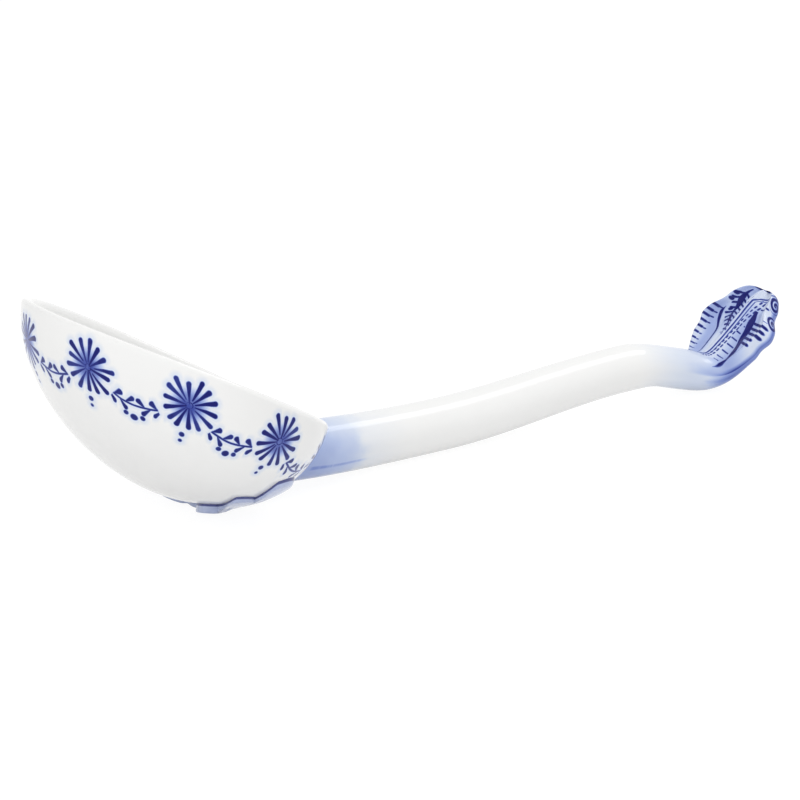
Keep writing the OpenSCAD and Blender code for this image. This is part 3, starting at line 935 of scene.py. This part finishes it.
def near_paint(s, v, wide, place):
    """Half of the face with a slanting stroke, bars outside it, and lines and beads beside the rib."""
    wobble = noise(place, WOBBLE_SIZE) * WOBBLE
    rib = line_gap(s, v, wide, *RIB_LINE) + wobble * LINE_WOBBLE
    lines = least(abs(rib) - RIB_THICK, abs(rib - RIB_STEP) - RIB_THIN) + washed(s, RIB_FADE)
    lines = most(lines, s - RIB_END)
    string = line_gap(s, v, wide, *BEAD_LINE) + wobble * BEAD_WOBBLE
    bead, count = middle_of(s, BEAD_STEP)
    bead = bead + chance(count, 6.5) * BEAD_LOOSE
    beads = least(*[bar_gap(string - out, bead, -long, long, half) for out, long, half in BEADS])
    beads = within(beads, s, BEAD_SPAN)
    flute_v = MAIN_PLACE - washed(s, MAIN_DRIFT)
    flute = (v - flute_v) * wide + wobble
    swell = (between(s, MAIN_SWELL) * MAIN_BROAD + MAIN_THIN) * step(s, *MAIN_POINT)
    main = within(abs(flute) - swell, s, MAIN_SPAN)
    barb, count = middle_of(s + flute * BARB_SLANT, BARB_STEP)
    foot = chance(count, 1.5) * BARB_LOOSE + BARB_FOOT
    barbs = bar_gap(barb, string, foot, string - flute - BARB_CLEAR, BARB_HALF)
    barbs = within(barbs, s, BARB_SPAN)
    bar_long = (BAR_END - flute_v) * wide
    bar, count = middle_of(s + flute / bar_long * BAR_SLANT, BAR_STEP)
    bar = bar + chance(count, 5.5) * BAR_LOOSE
    bars = bar_gap(bar, flute, BAR_FOOT, bar_long - BAR_SHORT + chance(count, 2.5), BAR_HALF)
    bars = within(bars, s, BAR_SPAN)
    spur = bar_gap(s - SPUR_RUN + wobble, v * wide, wide * SPUR_IN, wide * SPUR_OUT, SPUR_HALF)
    wash = step(abs(flute), *NEAR_SOFT) * between(s, NEAR_WASH) * FLUTE_TONE
    fine = inked(least(lines, beads, barbs), place, FINE)
    bold = inked(least(main, bars, spur), place, BOLD)
    return most(fine, bold), wash


def far_paint(s, v, wide, place):
    """Half of the face with a line along its flute, a feathered stroke and two rows of dashes."""
    wobble = noise(place, WOBBLE_SIZE) * WOBBLE
    flute = line_gap(s, v, wide, *FLUTE_LINE) + wobble * LINE_WOBBLE
    line = abs(flute) - step(s, *FLUTE_SWELL) + washed(s, FLUTE_POINT) + washed(s, FLUTE_FADE)
    quill = line_gap(s, v, wide, *QUILL_LINE) + wobble
    swell = between(s, FEATHER_SWELL) * FEATHER_BROAD + FEATHER_THIN
    feather = within(abs(quill) - swell, s, FEATHER_SPAN)
    vane, count = middle_of(s + abs(quill) * VANE_SLANT, VANE_STEP)
    long = between(s, VANE_SWELL) * VANE_LONG + VANE_SHORT
    inward = chance(count, 7.5) * VANE_LOOSE - long
    outward = chance(count, 8.5) * VANE_LOOSE + long
    vanes = within(bar_gap(vane, quill, inward, outward, VANE_HALF), s, VANE_SPAN)
    blots = least(*[dot(s, v * wide, at, wide * out, half) for at, out, half in BLOTS]) + wobble
    spot, _ = middle_of(s + chance(calc("FLOOR", s), 3.5) * SPOT_LOOSE, SPOT_STEP)
    spots = bar_gap(spot, (v - SPOT_PLACE) * wide, -SPOT_LONG, SPOT_LONG, SPOT_HALF)
    spots = within(spots, s, SPOT_SPAN)
    dash, count = middle_of(s, DASH_STEP)
    loose = chance(count, 4.5) * DASH_LOOSE
    half = washed(s, DASH_SWELL) + DASH_THIN
    outer = bar_gap(dash + loose * DASH_SHIFT, (v - DASH_OUT) * wide, loose - DASH_LONG, DASH_LONG, half)
    inner = bar_gap(dash + loose, (v - DASH_IN) * wide, loose - DASH_START, DASH_STOP, half * DASH_FINER)
    dashes = within(least(outer, inner), s, DASH_SPAN)
    wash = step(abs(flute - FAR_STEP), *FAR_SOFT) * between(s, FAR_WASH) * FLUTE_TONE
    wash = most(wash, step(abs(quill), *QUILL_SOFT) * washed(s, QUILL_WASH))
    bold = inked(least(line, feather, vanes, blots), place, BOLD)
    firm = inked(least(dashes, spots), place, FIRM)
    return most(bold, firm), wash


# Edge of the terminal: scroll eyes as run, place out from the edge and size, and a line round the end
EYES = ((31.2, -0.6, 1.8), (26.9, -0.6, 1.6))
SCROLL_PITCH, SCROLL_HALF = 1.0, 0.33
END_LINE, END_HALF, END_BACK = 34.4, 0.42, 0.2
END_START, END_SWELL = 32.6, (32.4, 34.2, 0.1, 0.4)
PALE_WASH = (6.0, 16.0, FACE_TONE)
SEAM, SEAM_SOFT = -1.5, 1.3
FLANK_EASES, FLANK_VARIES, FLANK_START = (3.0, 7.0, -0.14), 0.3, (8.0, 15.0)
SMEAR_IN, SMEAR_OUT = (-3.2, -0.9), (0.2, -0.7)
SMEAR_START, SMEAR_END = (1.5, 10.0), (12.0, 8.5, 0.16)
STEM_WASH_EBB = (18.0, 6.0, 0.5, 1.0)
FACE_FADE, HALF_FADE = (0.4, 0.6), (-0.03, 0.03)
# How far streaks of the brush shift the edges of the terminal's washes
FLANK_STREAK, SMEAR_STREAK, SMEAR_START_STREAK = 6.0, 1.5, 4.0
BRUSH_ROUND, BRUSH_SIZE, BRUSH_PULL = 3.0, 2.0, (5, 1, 1)


def scroll(x, y, size):
    """Distance from a line that winds out from a middle to a size."""
    far = hypot(x, y)
    winding, _ = middle_of(far - calc("ARCTAN2", y, x) * (SCROLL_PITCH / (2 * math.pi)), SCROLL_PITCH)
    return most(abs(winding) - SCROLL_HALF, far - size)


def shell_paint(tree, place):
    across, up, face = layers(tree, "handle_place")
    run = layer(tree, "handle_run")
    wide = layer(tree, "half_wide")
    edge = layer(tree, "edge_out")
    s = run - SHELL_RUN
    shown = step(face, *FACE_FADE)
    near_ink, near_wash = near_paint(s, across * -1.0, wide, place)
    far_ink, far_wash = far_paint(s, across, wide, place)
    far_side = step(across, *HALF_FADE) * shown
    near_side = shown - far_side
    ink = near_ink * near_side + far_ink * far_side
    flutes = near_wash * near_side + far_wash * far_side
    eyes = least(*[scroll(s - at, edge - out, size) for at, out, size in EYES])
    end_line = most(abs(s - END_LINE) - END_HALF, edge - END_BACK)
    edge_line = most(abs(edge + END_BACK) - step(s, *END_SWELL), END_START - s)
    ends = inked(least(eyes, end_line, edge_line), place, BOLD)
    # Washes: pale on the ridges, deeper in the flutes and on the flanks outside the seam
    brushed = noise([s, across * BRUSH_ROUND, edge], BRUSH_SIZE, BRUSH_DETAIL, BRUSH_PULL)
    pale = washed(s, PALE_WASH) * shown
    deep = washed(edge, FLANK_EASES) + FLANK_TONE + brushed * FLANK_VARIES
    flank = step(edge, SEAM, SEAM + SEAM_SOFT) * deep * step(s + brushed * FLANK_STREAK, *FLANK_START)
    smear = step(edge + brushed * SMEAR_STREAK, *SMEAR_IN) * step(edge + brushed, *SMEAR_OUT)
    smear = smear * step(s + brushed * SMEAR_START_STREAK, *SMEAR_START) * washed(s, SMEAR_END)
    wash = stem_wash(run, across, up, place) * step(s, *STEM_WASH_EBB)
    return most(wash + pale + flutes + flank + smear, ink, ends)


LEAF_LINE, VEIN_TONE = (0.62, 0.3, 0.82), 0.38
LEAF_GRAIN, LEAF_VARIES, LEAF_TONE = 3.0, 0.14, 0.31
FILLET_VARIES, FILLET_TONE = 0.1, 0.2


def leaf_paint(tree, place):
    line = washed(layer(tree, "leaf_rise"), LEAF_LINE)
    vein = layer(tree, "leaf_vein") * VEIN_TONE
    return most(line, vein, noise(place, LEAF_GRAIN) * LEAF_VARIES + LEAF_TONE)


def fillet_paint(tree, place):
    return noise(place, LEAF_GRAIN) * FILLET_VARIES + FILLET_TONE


# Pieces with their paint, the richness of its blue, the slot of the finish and the nodes they replace
FULL_BLUE, SOFT_BLUE = 1.0, 0.72
DRESS = (
    (bowl, bowl_paint, FULL_BLUE, "bowl_glaze", ["bowl"]),
    (stem, stem_paint, FULL_BLUE, "stem_glaze", ["handle_stem", "neck_joint_slip"]),
    (shell, shell_paint, FULL_BLUE, "shell_glaze", ["shell_terminal"]),
    (leaf, leaf_paint, SOFT_BLUE, "leaf_glaze", ["leaf_mount", "leaf_joint_slip"]),
    (fillet, fillet_paint, SOFT_BLUE, "glazed_slip", ["stem_joint_slip"]),
)
for piece, paint, richness, slot, nodes in DRESS:
    piece.data.materials.append(glazed(piece.name + "_finish", paint, richness))
    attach(piece, "root")
    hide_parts(*nodes)

# Camera at the photograph's angle
VIEW_TURN, VIEW_RISE, VIEW_DISTANCE = 36.439, 18.258, 1200.0
VIEW_X, VIEW_Z = 56.921, 13.40
SENSOR, FOCAL_LENGTH, FAR_CLIP = 36, 255.74, 50
view_target = np.array([VIEW_X - MIDDLE_X, 0, VIEW_Z])
view_flat = cos(VIEW_RISE)
view_way = np.array([-sin(VIEW_TURN) * view_flat, -cos(VIEW_TURN) * view_flat, sin(VIEW_RISE)])
lens = bpy.data.cameras.new("camera")
lens.sensor_width = SENSOR
lens.lens = FOCAL_LENGTH
lens.clip_end = FAR_CLIP
camera = bpy.data.objects.new("camera", lens)
camera.location = Vector(((view_target + VIEW_DISTANCE * view_way) * MM).tolist())
camera.rotation_euler = Vector((-view_way).tolist()).to_track_quat("-Z", "Y").to_euler()
bpy.context.scene.collection.objects.link(camera)
bpy.context.scene.camera = camera


def shown_rays(tree):
    """1 for rays from the camera or a reflection, 0 for light that falls on things."""
    rays = tree.nodes.new("ShaderNodeLightPath")
    kinds = ("Is Camera Ray", "Is Glossy Ray", "Is Transmission Ray")
    return most(*[Wire(rays.outputs[kind]) for kind in kinds])


# White surroundings, which light the object at a lower level than they show
FILL_LIGHT, SHOWN_LIGHT = 0.72, 1.0
world = bpy.data.worlds.new("studio")
bpy.context.scene.world = world
world.use_nodes = True
sky = world.node_tree
backdrop = sky.nodes["Background"]
backdrop.inputs["Color"].default_value = (1, 1, 1, 1)
level = sky.nodes.new("ShaderNodeMapRange")
level.inputs["To Min"].default_value = FILL_LIGHT
level.inputs["To Max"].default_value = SHOWN_LIGHT
plug(shown_rays(sky), level.inputs["Value"])
sky.links.new(level.outputs[0], backdrop.inputs["Strength"])

# Plain pale floor, brightened to white for shown rays, with the object's shadow left on it
FLOOR_HALF, FLOOR_DROP = 4.0, 0.00005
FLOOR_TONE, FLOOR_GLOW, GLOW_SHARE = (0.85, 0.85, 0.85, 1), 1.1, 0.85
CORNERS = ((-1, -1), (1, -1), (1, 1), (-1, 1))
floor_mesh = bpy.data.meshes.new("floor")
floor_points = [(x * FLOOR_HALF, y * FLOOR_HALF, -FLOOR_DROP) for x, y in CORNERS]
floor_mesh.from_pydata(floor_points, [], [(0, 1, 2, 3)])
floor = bpy.data.objects.new("floor", floor_mesh)
bpy.context.scene.collection.objects.link(floor)
floor_paint = bpy.data.materials.new("pale_floor")
floor_paint.use_nodes = True
floor_tree = floor_paint.node_tree
floor_tree.nodes.remove(floor_tree.nodes["Principled BSDF"])
matte = floor_tree.nodes.new("ShaderNodeBsdfDiffuse")
matte.inputs["Color"].default_value = FLOOR_TONE
glow = floor_tree.nodes.new("ShaderNodeEmission")
glow.inputs["Strength"].default_value = FLOOR_GLOW
blend = floor_tree.nodes.new("ShaderNodeMixShader")
plug(shown_rays(floor_tree) * GLOW_SHARE, blend.inputs["Fac"])
floor_tree.links.new(matte.outputs[0], blend.inputs[1])
floor_tree.links.new(glow.outputs[0], blend.inputs[2])
floor_tree.links.new(blend.outputs[0], floor_tree.nodes["Material Output"].inputs["Surface"])
floor_mesh.materials.append(floor_paint)

# Soft lamps, all aimed at the object: name, place in metres, width, height and watts
LAMPS = (
    ("key_light", (0.75, 0.0, 1.0), 0.45, 0.6, 4.0),
    ("top_light", (-0.3, -0.15, 1.1), 0.8, 0.8, 1.0),
    ("front_light", (-0.45, -0.85, 0.25), 0.8, 0.8, 1.2),
    ("left_light", (-0.9, -0.3, 0.25), 0.8, 0.8, 1.8),
)
LAMP_AIM = (0, 0, 0.02)
for name, spot, width, height, watts in LAMPS:
    light = bpy.data.lights.new(name, "AREA")
    light.shape = "RECTANGLE"
    light.size = width
    light.size_y = height
    light.energy = watts
    lamp = bpy.data.objects.new(name, light)
    lamp.location = spot
    lamp.rotation_euler = (Vector(LAMP_AIM) - Vector(spot)).to_track_quat("-Z", "Y").to_euler()
    bpy.context.scene.collection.objects.link(lamp)

scene = bpy.context.scene
scene.view_settings.view_transform = "Standard"
